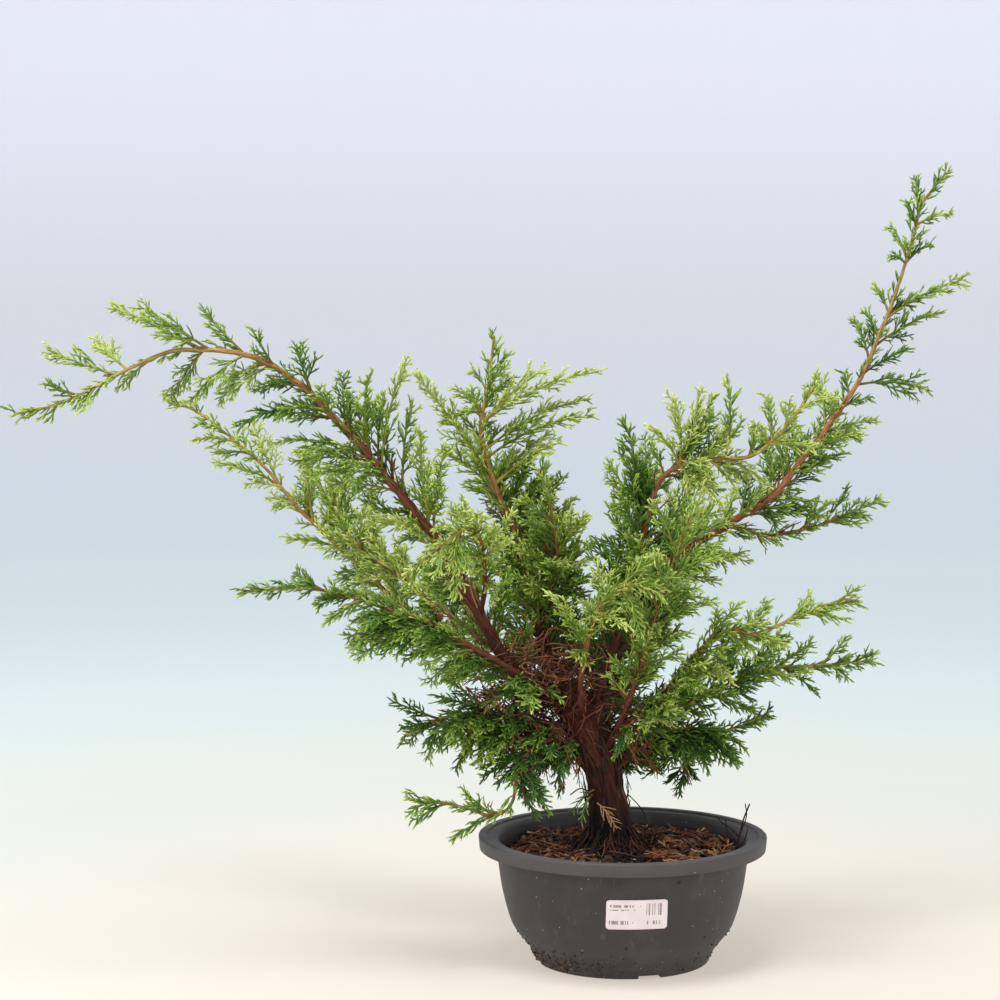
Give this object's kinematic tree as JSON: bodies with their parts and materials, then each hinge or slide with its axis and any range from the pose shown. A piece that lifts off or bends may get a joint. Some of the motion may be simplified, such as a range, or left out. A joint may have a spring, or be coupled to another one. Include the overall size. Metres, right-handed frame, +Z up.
{
  "type": "bonsai tree in a pot",
  "caption": "Juniper bonsai with a leaning trunk and long spreading limbs, in a round flared plastic training pot with soil and a blank sticker.",
  "frame": {"origin": "centre of the pot's underside, on the surface the pot stands on", "axes": "+Z up; +X to the right and +Y away from the viewer when the sticker faces the viewer, so the long limbs spread along X"},
  "size_m": [0.7759, 0.3536, 0.6577],
  "materials": {
    "pot_plastic": "matt, slightly dusty",
    "label_paper": "smooth coated paper",
    "soil": "moist potting soil with bark and needles",
    "root_mound": "matted fine roots and soil",
    "trunk_bark": "stringy peeling bark",
    "limb_bark": "thin flaking bark",
    "foliage": "waxy scale leaves"
  },
  "bodies": {
    "root": {"foliage_back_left": "foliage", "foliage_back_low": "foliage", "foliage_back_right": "foliage", "foliage_centre": "foliage", "foliage_centre_left_low": "foliage", "foliage_centre_left_right": "foliage", "foliage_centre_left_top": "foliage", "foliage_front_arch": "foliage", "foliage_front_left": "foliage", "foliage_front_right": "foliage", "foliage_left_back_low": "foliage", "foliage_left_back_mid": "foliage", "foliage_left_back_tip": "foliage", "foliage_left_hanging": "foliage", "foliage_left_long_base": "foliage", "foliage_left_long_inner": "foliage", "foliage_left_long_mid": "foliage", "foliage_left_long_outer": "foliage", "foliage_left_long_tip": "foliage", "foliage_left_low": "foliage", "foliage_left_side": "foliage", "foliage_left_skirt": "foliage", "foliage_right_arm": "foliage", "foliage_right_back_low": "foliage", "foliage_right_droop": "foliage", "foliage_right_hanging": "foliage", "foliage_right_long_low": "foliage", "foliage_right_long_mid": "foliage", "foliage_right_long_top": "foliage", "foliage_right_long_upper": "foliage", "foliage_right_low": "foliage", "foliage_right_mid_left": "foliage", "foliage_right_mid_middle": "foliage", "foliage_right_mid_tip": "foliage", "label": "label_paper", "limb_back_left": "limb_bark", "limb_back_low": "limb_bark", "limb_back_right": "limb_bark", "limb_centre": "limb_bark", "limb_centre_left": "limb_bark", "limb_front_arch": "limb_bark", "limb_front_left": "limb_bark", "limb_front_right": "limb_bark", "limb_left_back": "limb_bark", "limb_left_back_low": "limb_bark", "limb_left_long": "limb_bark", "limb_left_low": "limb_bark", "limb_left_side": "limb_bark", "limb_left_skirt": "limb_bark", "limb_right_arm": "limb_bark", "limb_right_back_low": "limb_bark", "limb_right_droop": "limb_bark", "limb_right_hanging": "limb_bark", "limb_right_long": "limb_bark", "limb_right_low": "limb_bark", "limb_right_mid": "limb_bark", "pot": "pot_plastic", "root_mound": "root_mound", "soil": "soil", "trunk": "trunk_bark"}
  },
  "joints": []
}
